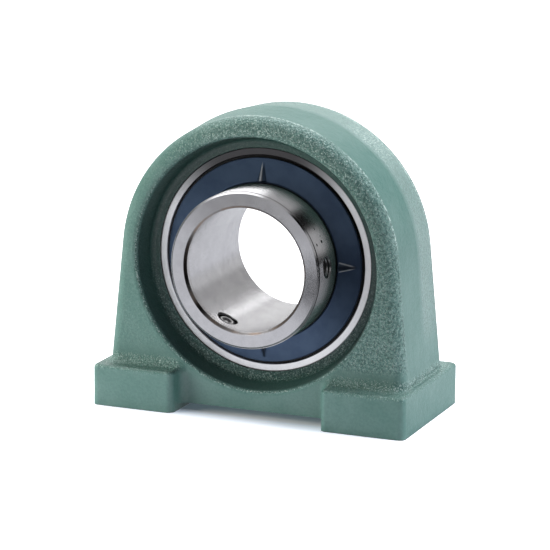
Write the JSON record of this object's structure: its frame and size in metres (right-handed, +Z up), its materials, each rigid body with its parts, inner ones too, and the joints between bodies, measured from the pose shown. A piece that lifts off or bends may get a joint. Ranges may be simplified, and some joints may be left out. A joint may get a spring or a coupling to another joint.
{
  "type": "pillow block bearing",
  "caption": "Pillow block bearing with a tapped base: a cast arch housing on foot pads holds a self-aligning ball bearing insert that set screws lock to the shaft.",
  "frame": {"origin": "centre of the pattern of tapped holes on the plane of the foot pads, under the bearing's centre", "axes": "+X along the base, +Y along the shaft from the locking collar to the back, +Z up"},
  "size_m": [0.121, 0.059, 0.1104],
  "materials": {
    "housing_casting": "matte",
    "outer_ring_steel": "satin",
    "inner_ring_steel": "satin",
    "ball_steel": "polished",
    "cage_steel": "satin",
    "seal_rubber": "matte",
    "slinger_coating": "satin",
    "screw_steel": "satin"
  },
  "bodies": {
    "housing": {"housing": "housing_casting"},
    "insert_outer": {"outer_ring": "outer_ring_steel", "seal_front": "seal_rubber", "seal_back": "seal_rubber"},
    "insert_inner": {"inner_ring": "inner_ring_steel", "slinger_front": "slinger_coating", "slinger_back": "slinger_coating"},
    "cage": {"cage_front": "cage_steel", "cage_back": "cage_steel", "cage_rivet_01": "cage_steel", "cage_rivet_02": "cage_steel", "cage_rivet_03": "cage_steel", "cage_rivet_04": "cage_steel", "cage_rivet_05": "cage_steel", "cage_rivet_06": "cage_steel", "cage_rivet_07": "cage_steel", "cage_rivet_08": "cage_steel", "cage_rivet_09": "cage_steel"},
    "ball_01": {"ball_01": "ball_steel"},
    "ball_02": {"ball_02": "ball_steel"},
    "ball_03": {"ball_03": "ball_steel"},
    "ball_04": {"ball_04": "ball_steel"},
    "ball_05": {"ball_05": "ball_steel"},
    "ball_06": {"ball_06": "ball_steel"},
    "ball_07": {"ball_07": "ball_steel"},
    "ball_08": {"ball_08": "ball_steel"},
    "ball_09": {"ball_09": "ball_steel"},
    "set_screw_right": {"set_screw_right": "screw_steel"},
    "set_screw_lower": {"set_screw_lower": "screw_steel"}
  },
  "joints": [
    {"name": "align_swivel", "type": "hinge", "parent": "housing", "child": "insert_outer", "pos_m": [0, 0, 0.056], "axis": [0, 0, 1], "range_deg": [-2, 2]},
    {"name": "shaft_spin", "type": "hinge", "parent": "insert_outer", "child": "insert_inner", "pos_m": [0, 0, 0.056], "axis": [0, 1, 0], "continuous": true},
    {"name": "cage_orbit", "type": "hinge", "parent": "insert_outer", "child": "cage", "pos_m": [0, 0, 0.056], "axis": [0, 1, 0], "continuous": true},
    {"name": "ball_01_spin", "type": "hinge", "parent": "cage", "child": "ball_01", "pos_m": [0, 0, 0.0885], "axis": [0, 1, 0], "continuous": true},
    {"name": "ball_02_spin", "type": "hinge", "parent": "cage", "child": "ball_02", "pos_m": [0.02089, 0, 0.0809], "axis": [0, 1, 0], "continuous": true},
    {"name": "ball_03_spin", "type": "hinge", "parent": "cage", "child": "ball_03", "pos_m": [0.03201, 0, 0.06164], "axis": [0, 1, 0], "continuous": true},
    {"name": "ball_04_spin", "type": "hinge", "parent": "cage", "child": "ball_04", "pos_m": [0.02815, 0, 0.03975], "axis": [0, 1, 0], "continuous": true},
    {"name": "ball_05_spin", "type": "hinge", "parent": "cage", "child": "ball_05", "pos_m": [0.01112, 0, 0.02546], "axis": [0, 1, 0], "continuous": true},
    {"name": "ball_06_spin", "type": "hinge", "parent": "cage", "child": "ball_06", "pos_m": [-0.01112, 0, 0.02546], "axis": [0, 1, 0], "continuous": true},
    {"name": "ball_07_spin", "type": "hinge", "parent": "cage", "child": "ball_07", "pos_m": [-0.02815, 0, 0.03975], "axis": [0, 1, 0], "continuous": true},
    {"name": "ball_08_spin", "type": "hinge", "parent": "cage", "child": "ball_08", "pos_m": [-0.03201, 0, 0.06164], "axis": [0, 1, 0], "continuous": true},
    {"name": "ball_09_spin", "type": "hinge", "parent": "cage", "child": "ball_09", "pos_m": [-0.02089, 0, 0.0809], "axis": [0, 1, 0], "continuous": true},
    {"name": "set_screw_right_travel", "type": "slide", "parent": "insert_inner", "child": "set_screw_right", "axis": [-0.9969, 0, -0.0785], "range_m": [-0.0014, 0.0008]},
    {"name": "set_screw_lower_travel", "type": "slide", "parent": "insert_inner", "child": "set_screw_lower", "axis": [0.4305, 0, 0.9026], "range_m": [-0.0014, 0.0008]}
  ],
  "couplings": [
    {"joint": "cage_orbit", "follows": "shaft_spin", "ratio": 0.40231},
    {"joint": "ball_01_spin", "follows": "shaft_spin", "ratio": -2.4614},
    {"joint": "ball_02_spin", "follows": "shaft_spin", "ratio": -2.4614},
    {"joint": "ball_03_spin", "follows": "shaft_spin", "ratio": -2.4614},
    {"joint": "ball_04_spin", "follows": "shaft_spin", "ratio": -2.4614},
    {"joint": "ball_05_spin", "follows": "shaft_spin", "ratio": -2.4614},
    {"joint": "ball_06_spin", "follows": "shaft_spin", "ratio": -2.4614},
    {"joint": "ball_07_spin", "follows": "shaft_spin", "ratio": -2.4614},
    {"joint": "ball_08_spin", "follows": "shaft_spin", "ratio": -2.4614},
    {"joint": "ball_09_spin", "follows": "shaft_spin", "ratio": -2.4614}
  ]
}
